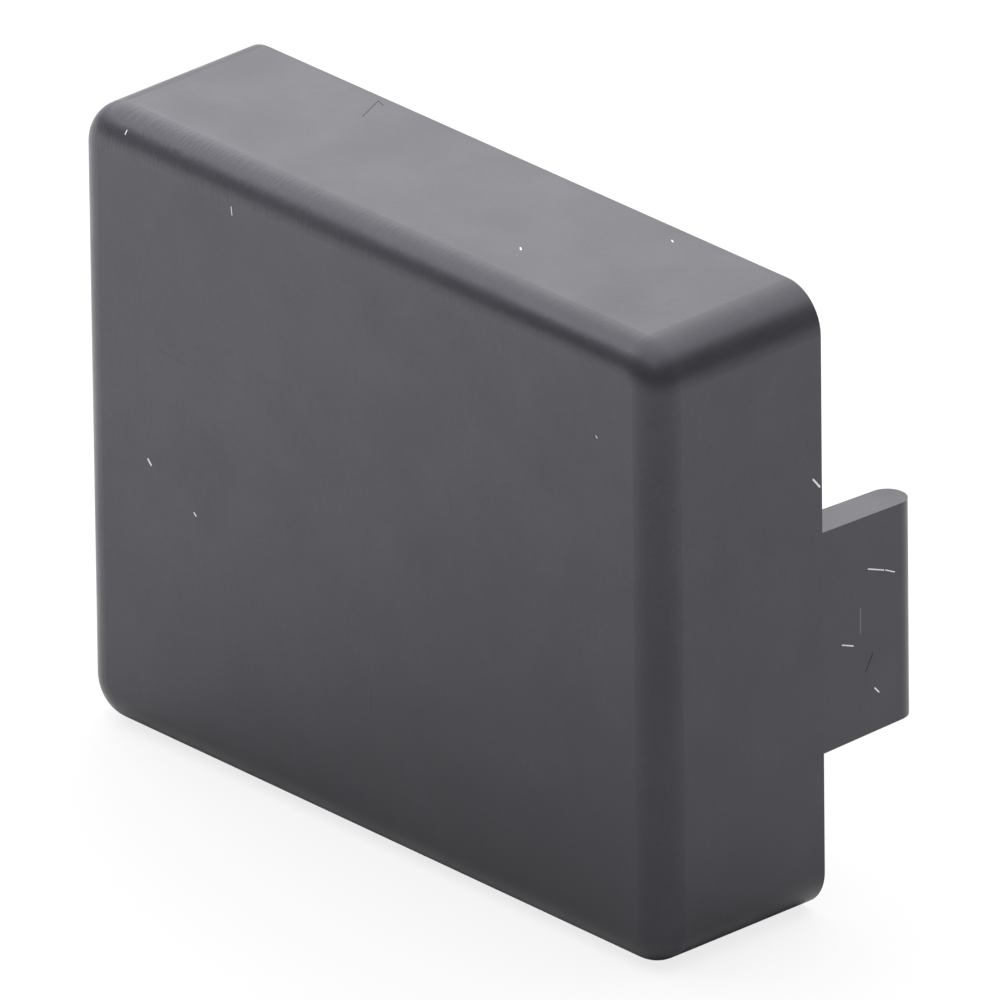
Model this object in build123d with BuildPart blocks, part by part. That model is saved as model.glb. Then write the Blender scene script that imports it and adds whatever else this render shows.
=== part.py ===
from build123d import *
import math
import os

# Profile end cap, moulded in one piece: a deep rectangular head with a rounded
# finished face, hollow behind, carrying two flat tabs that push into the profile.
# X runs across the head, Z is up, and the finished face looks along -Y.
# The origin is the middle of the rim, the plane that seats on the end of the profile.

# Head
head_width = 40.0
head_height = 32.0
head_depth = 10.4
corner_radius = 2.2            # the four long corners of the outline
front_edge_radius = 1.6        # between the finished face and the sides
draft_angle = 0.3              # degrees; every side leans in towards the finished face

# Hollow behind the finished face
side_wall = 2.0
front_wall = 2.2
hollow_corner_radius = 1.2     # inside corner between neighbouring side walls
hollow_floor_radius = 0.8      # inside corner between the side walls and the front wall

# Tabs, measured where they pass the rim
slip_clearance = 0.2           # room between a tab and the inside of the profile wall
tab_reach = 7.5                # beyond the rim
tab_height = 11.5
tab_thickness = 2.0
tab_drop = 3.45                # middle of the tabs, below the middle of the head
tab_edge_taper = 2.0           # degrees; top and bottom edges close in towards the tip
tab_face_taper = 0.6           # degrees; both faces close in towards the tip
tab_tip_radius = 0.9           # lead-in rounding of the tip
tab_root_radius = 0.6          # blend between a tab's inner face and the front wall

hollow_depth = head_depth - front_wall
front_rounding = min(front_edge_radius, corner_radius - 0.3)
floor_rounding = min(hollow_floor_radius, hollow_corner_radius - 0.2)

# The profile's wall is as thick as the side walls of the head, so the outer face of
# a tab stands in from the side of the head by that wall and the slip clearance.
tab_outer_face = head_width / 2 - side_wall - slip_clearance
tab_inner_face = tab_outer_face - tab_thickness
middle_of_side_wall = (head_width - side_wall) / 2
middle_of_front_wall = -(head_depth - front_wall / 2)

face_lean = math.tan(math.radians(tab_face_taper))
edge_lean = math.tan(math.radians(tab_edge_taper))
half_tip_height = tab_height / 2 - tab_reach * edge_lean
half_root_height = tab_height / 2 - middle_of_front_wall * edge_lean
tip_thickness = tab_thickness - 2 * tab_reach * face_lean
tip_rounding = min(tab_tip_radius, 0.48 * tip_thickness)

rim_plane = Plane.XZ           # its normal looks along -Y, into the head

with BuildPart() as tab:
    # Seen from above: the root is a rib on the side wall of the head, and the free
    # end steps in at the rim so that it clears the wall of the profile
    with BuildSketch(Plane.XY):
        with BuildLine():
            Polyline(
                (tab_inner_face + middle_of_front_wall * face_lean, middle_of_front_wall),
                (middle_of_side_wall, middle_of_front_wall),
                (middle_of_side_wall, 0),
                (tab_outer_face, 0),
                (tab_outer_face - tab_reach * face_lean, tab_reach),
                (tab_inner_face + tab_reach * face_lean, tab_reach),
                close=True,
            )
        make_face()
    extrude(amount=head_height / 2, both=True)
    # Seen from the side: the tab narrows from the front wall to the tip
    with BuildSketch(Plane.YZ):
        with BuildLine():
            Polyline(
                (middle_of_front_wall, -tab_drop - half_root_height),
                (tab_reach, -tab_drop - half_tip_height),
                (tab_reach, -tab_drop + half_tip_height),
                (middle_of_front_wall, -tab_drop + half_root_height),
                close=True,
            )
        make_face()
    extrude(amount=head_width / 2, mode=Mode.INTERSECT)
    tip_face = tab.faces().sort_by(Axis.Y)[-1]
    fillet(tip_face.edges().filter_by(Axis.Z), tip_rounding)

with BuildPart() as end_cap:
    # Head, drawn on the rim and drafted towards the finished face
    with BuildSketch(rim_plane):
        RectangleRounded(head_width, head_height, corner_radius)
    extrude(amount=head_depth, taper=draft_angle)
    finished_face = end_cap.faces().sort_by(Axis.Y)[0]
    fillet(finished_face.edges(), front_rounding)

    # Hollow, with the same draft, so that the side walls keep their thickness
    with BuildSketch(rim_plane):
        RectangleRounded(
            head_width - 2 * side_wall,
            head_height - 2 * side_wall,
            hollow_corner_radius,
        )
    extrude(amount=hollow_depth, taper=draft_angle, mode=Mode.SUBTRACT)
    hollow_floor = end_cap.faces().filter_by(Axis.Y).sort_by(Axis.Y)[1]
    fillet(hollow_floor.edges(), floor_rounding)

    # The two tabs, and a blend where each rises from the front wall
    add(tab.part)
    mirror(tab.part, about=Plane.YZ)
    hollow_floor = end_cap.faces().filter_by(Axis.Y).sort_by(Axis.Y)[1]
    upright_edges = hollow_floor.edges().filter_by(Axis.Z)
    tab_roots = upright_edges.sort_by(lambda edge: abs(edge.center().X))[:2]
    fillet(tab_roots, tab_root_radius)

end_cap.part.label = "end_cap"

os.makedirs("parts", exist_ok=True)
export_step(end_cap.part, "parts/end_cap.step")
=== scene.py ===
import bpy
import math
from mathutils import Matrix, Vector


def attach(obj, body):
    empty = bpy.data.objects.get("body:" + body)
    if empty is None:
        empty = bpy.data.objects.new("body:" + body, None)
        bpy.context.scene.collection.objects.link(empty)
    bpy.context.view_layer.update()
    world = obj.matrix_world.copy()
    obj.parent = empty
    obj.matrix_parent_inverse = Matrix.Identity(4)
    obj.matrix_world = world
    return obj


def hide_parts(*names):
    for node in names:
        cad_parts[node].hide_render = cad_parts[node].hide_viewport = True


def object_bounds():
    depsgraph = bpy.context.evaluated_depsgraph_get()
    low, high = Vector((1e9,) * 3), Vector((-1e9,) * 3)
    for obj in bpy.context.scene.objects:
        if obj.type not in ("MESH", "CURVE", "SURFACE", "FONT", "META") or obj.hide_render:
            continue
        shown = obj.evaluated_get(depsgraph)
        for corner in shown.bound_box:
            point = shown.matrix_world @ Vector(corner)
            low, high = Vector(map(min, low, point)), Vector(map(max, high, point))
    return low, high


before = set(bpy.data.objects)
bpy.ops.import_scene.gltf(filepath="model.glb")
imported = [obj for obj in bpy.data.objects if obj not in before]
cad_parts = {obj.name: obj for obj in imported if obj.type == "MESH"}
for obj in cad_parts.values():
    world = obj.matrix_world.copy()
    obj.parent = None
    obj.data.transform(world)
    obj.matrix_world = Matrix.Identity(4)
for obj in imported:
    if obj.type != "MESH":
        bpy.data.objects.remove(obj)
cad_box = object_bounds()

MM = 0.001

# ---------------------------------------------------------------- places, from the frame
# The frame is in metres; the material and the marks count in millimetres.
box_low, box_high = cad_box
box_centre = (box_low + box_high) / 2
floor_height = box_low.z
FACE_Y = box_low.y / MM        # the finished face, which looks along -Y
SIDE_X = box_high.x / MM       # the right side of the head
TOP_Z = box_high.z / MM        # the top of the head
SIDE_WALL = 2.0                # about how far a tab's outer face stands in from the side
TAB_OUTER_X = SIDE_X - SIDE_WALL


# ---------------------------------------------------------------- node helpers
def new_material(name):
    """An empty node material; returns it with its node tree."""
    material = bpy.data.materials.new(name)
    material.use_nodes = True
    material.node_tree.nodes.clear()
    return material, material.node_tree


def math_node(tree, operation, first, second=None, clamp=False):
    """A Math node; each operand is a socket or a number."""
    node = tree.nodes.new("ShaderNodeMath")
    node.operation = operation
    node.use_clamp = clamp
    for slot, operand in enumerate((first, second)):
        if isinstance(operand, bpy.types.NodeSocket):
            tree.links.new(operand, node.inputs[slot])
        elif operand is not None:
            node.inputs[slot].default_value = operand
    return node.outputs[0]


def product(tree, first, second):
    return math_node(tree, "MULTIPLY", first, second)


def centred(tree, value, amount):
    """Turns a noise, which is about 0.5 on average, into a swing of this amount about 0."""
    return product(tree, math_node(tree, "SUBTRACT", value, 0.5), amount)


def vector_node(tree, operation, first, second=None, scale=None):
    """A Vector Math node; each operand is a socket or a triple."""
    node = tree.nodes.new("ShaderNodeVectorMath")
    node.operation = operation
    for slot, operand in enumerate((first, second)):
        if isinstance(operand, bpy.types.NodeSocket):
            tree.links.new(operand, node.inputs[slot])
        elif operand is not None:
            node.inputs[slot].default_value = operand
    if scale is not None:
        tree.links.new(scale, node.inputs["Scale"])
    return node.outputs["Value" if operation in ("LENGTH", "DOT_PRODUCT") else "Vector"]


def ramp(tree, value, start, end, low=0.0, high=1.0):
    """Runs smoothly from low to high while value runs from start to end."""
    node = tree.nodes.new("ShaderNodeMapRange")
    node.interpolation_type = "SMOOTHSTEP"
    node.inputs["From Min"].default_value = start
    node.inputs["From Max"].default_value = end
    node.inputs["To Min"].default_value = low
    node.inputs["To Max"].default_value = high
    tree.links.new(value, node.inputs["Value"])
    return node.outputs["Result"]


def noise(tree, position, scale, detail=2.0, roughness=0.5):
    """Noise with this many cells to the millimetre, about 0.5 on average."""
    node = tree.nodes.new("ShaderNodeTexNoise")
    node.inputs["Scale"].default_value = scale
    node.inputs["Detail"].default_value = detail
    node.inputs["Roughness"].default_value = roughness
    tree.links.new(position, node.inputs["Vector"])
    return node.outputs["Fac"]


def mix_value(tree, share, first, second):
    """A number that runs from first to second as share runs from 0 to 1."""
    node = tree.nodes.new("ShaderNodeMix")
    node.data_type = "FLOAT"
    tree.links.new(share, node.inputs["Factor"])
    for name, operand in (("A", first), ("B", second)):
        if isinstance(operand, bpy.types.NodeSocket):
            tree.links.new(operand, node.inputs[name])
        else:
            node.inputs[name].default_value = operand
    return node.outputs["Result"]


def mix_colour(tree, share, first, second):
    """A colour that runs from first to second as share runs from 0 to 1."""
    node = tree.nodes.new("ShaderNodeMix")
    node.data_type = "RGBA"
    tree.links.new(share, node.inputs["Factor"])
    sockets = [socket for socket in node.inputs if socket.type == "RGBA"]
    for socket, operand in zip(sockets, (first, second)):
        if isinstance(operand, bpy.types.NodeSocket):
            tree.links.new(operand, socket)
        else:
            socket.default_value = (*operand, 1)
    return [socket for socket in node.outputs if socket.type == "RGBA"][0]


# ---------------------------------------------------------------- marks on the plastic
# Each mark is a line on one face, between two points in mm in the frame, with its width.
# Front face: (x, z). Top face: (x, y). Right side and outer face of the right tab: (y, z).
FRONT_LIGHT = (
    ((-15.15, -1.1), (-14.95, -1.33), 0.10),
    ((-11.98, -2.8), (-11.85, -2.92), 0.07),
    ((-16.6, 15.3), (-16.6, 15.15), 0.06),
    ((-9.05, 14.0), (-9.0, 13.6), 0.05),
    ((15.88, 10.68), (15.95, 10.6), 0.05),
)
FRONT_DARK = (
    ((0.19, -7.5), (0.17, -8.9), 0.05),
    ((5.65, 4.65), (5.95, 3.25), 0.05),
    ((-14.2, 4.9), (-12.45, 4.7), 0.06),
)
TOP_LIGHT = (
    ((6.72, -6.6), (6.92, -6.75), 0.07),
    ((11.05, -1.05), (11.25, -1.15), 0.06),
)
TOP_DARK = (
    ((-9.0, -2.1), (-9.75, -0.4), 0.07),
    ((-9.75, -0.4), (-9.2, -0.6), 0.06),
)
SIDE_LIGHT = (
    ((-0.55, 6.6), (-0.15, 6.1), 0.09),
)
TAB_LIGHT = (
    ((5.0, -0.61), (6.0, -1.0), 0.06),
    ((6.12, -1.04), (6.7, -1.33), 0.05),
    ((3.3, -3.97), (4.0, -4.25), 0.06),
    ((5.38, -6.89), (5.64, -7.18), 0.07),
)
TAB_DARK = (
    ((5.25, -5.05), (4.8, -5.85), 0.06),
)
TAB_FAINT = (
    ((4.49, -2.5), (4.48, -3.75), 0.05),
)
LINE_GONE = 0.65               # distance from a line's middle, as a share of its width,
LINE_FULL = 0.35               # where it has faded out, and where it has its full strength
FRONT_SKIN = 1.3               # how deep below each face its marks may reach
TOP_SKIN = 0.3
SIDE_SKIN = 0.3
TAB_SKIN = 0.6
FRONT_DARK_STRENGTH = 0.35
FAINT_STRENGTH = 0.15


def line_mask(tree, point, start, end, width):
    """1 on the line from start to end, fading out over its two edges."""
    run = (end[0] - start[0], end[1] - start[1])
    run_squared = run[0] ** 2 + run[1] ** 2
    from_start = vector_node(tree, "SUBTRACT", point, (*start, 0))
    along = vector_node(tree, "DOT_PRODUCT", from_start, (*run, 0))
    share = math_node(tree, "DIVIDE", along, run_squared, clamp=True)
    direction = tree.nodes.new("ShaderNodeCombineXYZ")
    direction.inputs["X"].default_value = run[0]
    direction.inputs["Y"].default_value = run[1]
    nearest = vector_node(tree, "SCALE", direction.outputs[0], scale=share)
    away = vector_node(tree, "LENGTH", vector_node(tree, "SUBTRACT", from_start, nearest))
    return ramp(tree, away, width * LINE_GONE, width * LINE_FULL)


def lines_mask(tree, point, lines, gate):
    """All the lines of one face, kept to that face by gate."""
    total = None
    for start, end, width in lines:
        one = line_mask(tree, point, start, end, width)
        total = one if total is None else math_node(tree, "MAXIMUM", total, one)
    return math_node(tree, "MULTIPLY", total, gate)


def face_point(tree, first, second):
    """The two coordinates that place a mark on a face, as one vector."""
    node = tree.nodes.new("ShaderNodeCombineXYZ")
    tree.links.new(first, node.inputs["X"])
    tree.links.new(second, node.inputs["Y"])
    return node.outputs[0]


def cap_marks(tree, x, y, z):
    """Masks of the light marks and of the dark hairlines."""
    on_front = math_node(tree, "LESS_THAN", y, FACE_Y + FRONT_SKIN)
    on_top = math_node(tree, "GREATER_THAN", z, TOP_Z - TOP_SKIN)
    before_rim = math_node(tree, "LESS_THAN", y, 0.0)
    past_rim = math_node(tree, "GREATER_THAN", y, 0.0)
    on_side = product(tree, math_node(tree, "GREATER_THAN", x, SIDE_X - SIDE_SKIN), before_rim)
    on_tab = product(tree, math_node(tree, "GREATER_THAN", x, TAB_OUTER_X - TAB_SKIN), past_rim)
    front = face_point(tree, x, z)
    top = face_point(tree, x, y)
    side = face_point(tree, y, z)
    light = lines_mask(tree, front, FRONT_LIGHT, on_front)
    for point, lines, gate in (
        (top, TOP_LIGHT, on_top), (side, SIDE_LIGHT, on_side), (side, TAB_LIGHT, on_tab),
    ):
        light = math_node(tree, "MAXIMUM", light, lines_mask(tree, point, lines, gate))
    faint = product(tree, lines_mask(tree, side, TAB_FAINT, on_tab), FAINT_STRENGTH)
    light = math_node(tree, "MAXIMUM", light, faint)
    dark = product(tree, lines_mask(tree, front, FRONT_DARK, on_front), FRONT_DARK_STRENGTH)
    for point, lines, gate in ((top, TOP_DARK, on_top), (side, TAB_DARK, on_tab)):
        dark = math_node(tree, "MAXIMUM", dark, lines_mask(tree, point, lines, gate))
    return light, dark


# ---------------------------------------------------------------- cap material
DEEP_GREY = (0.013, 0.013, 0.017)
# the lighter end of the colour: the painted sheen (a painted reflection, lighter to the upper
# left) and the random mottle both lean towards it
MOTTLE_AND_SHEEN_GREY = (0.045, 0.045, 0.054)
SCRATCH_GREY = (0.8, 0.8, 0.8)
SHEEN_TINT = (0.91, 0.905, 1.0)
PLASTIC_IOR = 1.53
PLAIN_SHINE = 0.5
HAIRLINE_SHINE = 0.05          # a dark hairline hardly shines
ROUGHNESS_LOW, ROUGHNESS_HIGH = 0.34, 0.40
GRIT_SPREAD = 0.06
# painted sheen: where and how steeply the colour lightens towards the upper left, as a painted
# reflection with painted shade to the lower right
PAINTED_SHEEN_LEAN = 0.45               # how fast the painted sheen thins to the right, against 1 downwards
PAINTED_SHEEN_FROM, PAINTED_SHEEN_TO = -12.0, 24.0
MOTTLE_SPREAD = 0.5

# Noises; scale is in cells to the millimetre
MOTTLE = {"scale": 0.35, "detail": 4.0, "roughness": 0.6}
SPECKLE = {"scale": 4.0, "detail": 3.0, "roughness": 0.7}
GRAIN = {"scale": 5.0, "detail": 3.0, "roughness": 0.6}
WAVE = {"scale": 0.12, "detail": 1.0}
STREAK = {"scale": 1.0, "detail": 3.0, "roughness": 0.7}
PATCH = {"scale": 0.25, "detail": 3.0}
PATCH_RANGE = (0.3, 0.7)
GRIT = {"scale": 6.0, "detail": 2.0}

# Heights of the bump, in mm
GRAIN_HEIGHT = 0.004
WAVE_HEIGHT = 0.03
STREAK_HEIGHT = 0.045

# Frayed streaks: short lines across the top front edge, stronger to the left, and weak ones
# on the upper left of the finished face
STREAK_STRETCH = (5.0, 0.9, 0.9)
TOP_BAND = (1.2, 2.6)          # below the top: full to the first, gone at the second
FACE_BAND = (1.0, 2.2)         # behind the finished face, in the same way
EDGE_RIGHT_SHARE, EDGE_LEFT_SHARE = 0.25, 1.0
LEFT_START_X = -6.0
LEFT_SHARE = 0.16
LEFT_FADE_Z = (-8.0, 8.0)


def cap_colour(tree, position, x, z):
    """Anthracite with a painted sheen, lighter towards the upper left of the finished face and
    darker to the lower right, finely mottled.
    """
    # painted sheen: lighter to the upper left as a painted reflection of the lit floor, darker
    # to the lower right as painted shade
    slope = math_node(tree, "SUBTRACT", z, product(tree, x, PAINTED_SHEEN_LEAN))
    painted_sheen = ramp(tree, slope, PAINTED_SHEEN_FROM, PAINTED_SHEEN_TO)
    mottle = noise(tree, position, **MOTTLE)
    speckle = noise(tree, position, **SPECKLE)
    spread = math_node(tree, "ADD", centred(tree, mottle, MOTTLE_SPREAD),
                       centred(tree, speckle, MOTTLE_SPREAD))
    share = math_node(tree, "ADD", painted_sheen, spread, clamp=True)
    return mix_colour(tree, share, DEEP_GREY, MOTTLE_AND_SHEEN_GREY)


def streak_share(tree, x, y, z):
    """How strongly the frayed streaks show at each place."""
    below_top, gone_below_top = TOP_BAND
    behind_face, gone_behind_face = FACE_BAND
    by_top = ramp(tree, z, TOP_Z - gone_below_top, TOP_Z - below_top)
    by_face = ramp(tree, y, FACE_Y + gone_behind_face, FACE_Y + behind_face)
    to_left = ramp(tree, x, SIDE_X, -SIDE_X, EDGE_RIGHT_SHARE, EDGE_LEFT_SHARE)
    on_edge = product(tree, product(tree, by_top, by_face), to_left)
    on_left = product(tree, ramp(tree, x, LEFT_START_X, -SIDE_X, 0.0, LEFT_SHARE),
                      ramp(tree, z, *LEFT_FADE_Z))
    return math_node(tree, "MAXIMUM", on_edge, on_left)


def cap_bump(tree, position, x, y, z):
    """Moulded grain and a slight wave all over, with the frayed streaks on top."""
    grain = product(tree, noise(tree, position, **GRAIN), GRAIN_HEIGHT)
    wave = product(tree, noise(tree, position, **WAVE), WAVE_HEIGHT)
    streak = noise(tree, vector_node(tree, "MULTIPLY", position, STREAK_STRETCH), **STREAK)
    frayed = product(tree, product(tree, streak, streak_share(tree, x, y, z)), STREAK_HEIGHT)
    height = math_node(tree, "ADD", math_node(tree, "ADD", grain, wave), frayed)
    bump = tree.nodes.new("ShaderNodeBump")
    bump.inputs["Strength"].default_value = 1.0
    bump.inputs["Distance"].default_value = MM
    tree.links.new(height, bump.inputs["Height"])
    return bump.outputs["Normal"]


def cap_plastic():
    """The anthracite plastic with its painted sheen, grain and marks."""
    material, tree = new_material("cap_plastic_anthracite")
    coordinates = tree.nodes.new("ShaderNodeTexCoord")
    to_mm = (1 / MM, 1 / MM, 1 / MM)
    position = vector_node(tree, "MULTIPLY", coordinates.outputs["Object"], to_mm)
    split = tree.nodes.new("ShaderNodeSeparateXYZ")
    tree.links.new(position, split.inputs[0])
    x, y, z = split.outputs
    light, dark = cap_marks(tree, x, y, z)
    colour = mix_colour(tree, light, cap_colour(tree, position, x, z), SCRATCH_GREY)
    patch = noise(tree, position, **PATCH)
    grit = noise(tree, position, **GRIT)
    patchy = ramp(tree, patch, *PATCH_RANGE, ROUGHNESS_LOW, ROUGHNESS_HIGH)
    roughness = math_node(tree, "ADD", patchy, centred(tree, grit, GRIT_SPREAD))
    shine = mix_value(tree, dark, PLAIN_SHINE, HAIRLINE_SHINE)
    shader = tree.nodes.new("ShaderNodeBsdfPrincipled")
    shader.inputs["IOR"].default_value = PLASTIC_IOR
    shader.inputs["Specular Tint"].default_value = (*SHEEN_TINT, 1)
    tree.links.new(colour, shader.inputs["Base Color"])
    tree.links.new(roughness, shader.inputs["Roughness"])
    tree.links.new(shine, shader.inputs["Specular IOR Level"])
    tree.links.new(cap_bump(tree, position, x, y, z), shader.inputs["Normal"])
    output = tree.nodes.new("ShaderNodeOutputMaterial")
    tree.links.new(shader.outputs["BSDF"], output.inputs["Surface"])
    return material


# ---------------------------------------------------------------- cap
TAB_REACH = 8.1 * MM           # beyond the rim; the photo shows a little more than the solid has
TAB_BOTTOM_DROP = 0.15 * MM    # how much lower the bottom edge runs out at the tip


def finished_cap():
    """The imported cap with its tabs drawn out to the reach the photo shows."""
    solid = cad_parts["end_cap"]
    cap = solid.copy()
    cap.data = solid.data.copy()
    cap.name = "end_cap_finished"
    bpy.context.scene.collection.objects.link(cap)
    free_end = [vertex for vertex in cap.data.vertices if vertex.co.y > 0]
    solid_reach = max(vertex.co.y for vertex in free_end)
    tab_middle = sum(vertex.co.z for vertex in free_end) / len(free_end)
    for vertex in free_end:
        share = vertex.co.y / solid_reach
        vertex.co.y = share * TAB_REACH
        if vertex.co.z < tab_middle:
            vertex.co.z -= share * TAB_BOTTOM_DROP
    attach(cap, "root")
    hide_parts("end_cap")
    return cap


def dress(piece):
    piece.data.materials[0] = cap_plastic()


# ---------------------------------------------------------------- studio
FLOOR_SIZE = 4.0
FLOOR_GREY = 0.82
FLOOR_GLOW = 0.8               # share of plain white in what the camera sees of the floor
ROOM_LIGHT = 0.21
BACKDROP_LIGHT = 1.0           # plain white, seen by the camera only
# Each panel: its name, centre and target in metres, side in metres, and radiance
PANELS = (
    ("overhead_panel", (-0.125, 0.10, 0.25), (-0.125, 0.10, 0.0), 0.645, 1.75),
    ("rear_panel", (-0.34, 0.31, 0.25), (-0.34, 0.31, 0.0), 0.72, 3.35),
    ("front_panel", (-0.22, -0.20, 0.25), (-0.10, -0.08, -0.02), 0.16, 1.6),
)


def add_floor():
    """A pale floor that keeps the shadow and looks nearly white to the camera."""
    material, tree = new_material("studio_floor")
    diffuse = tree.nodes.new("ShaderNodeBsdfDiffuse")
    diffuse.inputs["Color"].default_value = (FLOOR_GREY, FLOOR_GREY, FLOOR_GREY, 1)
    glow = tree.nodes.new("ShaderNodeEmission")
    light_path = tree.nodes.new("ShaderNodeLightPath")
    share = math_node(tree, "MULTIPLY", light_path.outputs["Is Camera Ray"], FLOOR_GLOW)
    mix = tree.nodes.new("ShaderNodeMixShader")
    output = tree.nodes.new("ShaderNodeOutputMaterial")
    tree.links.new(share, mix.inputs["Fac"])
    tree.links.new(diffuse.outputs[0], mix.inputs[1])
    tree.links.new(glow.outputs[0], mix.inputs[2])
    tree.links.new(mix.outputs[0], output.inputs["Surface"])
    bpy.ops.mesh.primitive_plane_add(size=FLOOR_SIZE, location=(0, 0, floor_height))
    floor = bpy.context.object
    floor.name = "studio_floor"
    floor.data.materials.append(material)


def add_world():
    """Soft room light, and plain white where the camera looks past the floor."""
    world = bpy.data.worlds.new("studio_world")
    bpy.context.scene.world = world
    world.use_nodes = True
    tree = world.node_tree
    tree.nodes.clear()
    light_path = tree.nodes.new("ShaderNodeLightPath")
    mix = tree.nodes.new("ShaderNodeMixShader")
    output = tree.nodes.new("ShaderNodeOutputWorld")
    tree.links.new(light_path.outputs["Is Camera Ray"], mix.inputs["Fac"])
    for slot, strength in ((1, ROOM_LIGHT), (2, BACKDROP_LIGHT)):
        background = tree.nodes.new("ShaderNodeBackground")
        background.inputs["Color"].default_value = (1, 1, 1, 1)
        background.inputs["Strength"].default_value = strength
        tree.links.new(background.outputs[0], mix.inputs[slot])
    tree.links.new(mix.outputs[0], output.inputs["Surface"])


def add_panel(name, centre, target, size, radiance):
    """A square soft panel that looks at target."""
    data = bpy.data.lights.new(name, "AREA")
    data.shape = "SQUARE"
    data.size = size
    data.energy = radiance * math.pi * size ** 2
    light = bpy.data.objects.new(name, data)
    light.location = centre
    light.rotation_mode = "QUATERNION"
    light.rotation_quaternion = (Vector(centre) - Vector(target)).to_track_quat("Z", "Y")
    bpy.context.scene.collection.objects.link(light)


def add_lights():
    for name, centre, target, size, radiance in PANELS:
        add_panel(name, centre, target, size, radiance)


# ---------------------------------------------------------------- camera
CAMERA_AZIMUTH = 47.55
CAMERA_ELEVATION = 25.47
CAMERA_ROLL = -0.69
CAMERA_DISTANCE = 1574.0 * MM
CAMERA_LENS = 1212.1           # mm
SENSOR_WIDTH = 36.0            # mm
CLIP_START, CLIP_END = 0.1, 10.0
AIM_RIGHT = -0.337 * MM        # from the middle of the part's box to the middle of the picture
AIM_UP = -0.900 * MM


def add_camera():
    """The photo's camera: turned about the middle of the part, then rolled and aimed."""
    azimuth = math.radians(CAMERA_AZIMUTH)
    elevation = math.radians(CAMERA_ELEVATION)
    roll = math.radians(CAMERA_ROLL)
    back = Vector((
        math.sin(azimuth) * math.cos(elevation),
        -math.cos(azimuth) * math.cos(elevation),
        math.sin(elevation),
    ))
    level_right = Vector((math.cos(azimuth), math.sin(azimuth), 0))
    level_up = back.cross(level_right)
    right = math.cos(roll) * level_right + math.sin(roll) * level_up
    up = math.cos(roll) * level_up - math.sin(roll) * level_right
    data = bpy.data.cameras.new("camera")
    data.lens = CAMERA_LENS
    data.sensor_width = SENSOR_WIDTH
    data.clip_start = CLIP_START
    data.clip_end = CLIP_END
    camera = bpy.data.objects.new("camera", data)
    camera.rotation_mode = "QUATERNION"
    axes = Matrix((right, up, back)).transposed()
    camera.rotation_quaternion = axes.to_quaternion()
    camera.location = box_centre + CAMERA_DISTANCE * back + AIM_RIGHT * right + AIM_UP * up
    bpy.context.scene.collection.objects.link(camera)
    bpy.context.scene.camera = camera


# ---------------------------------------------------------------- scene
dress(finished_cap())
add_floor()
add_world()
add_lights()
add_camera()
bpy.context.scene.view_settings.view_transform = "Standard"
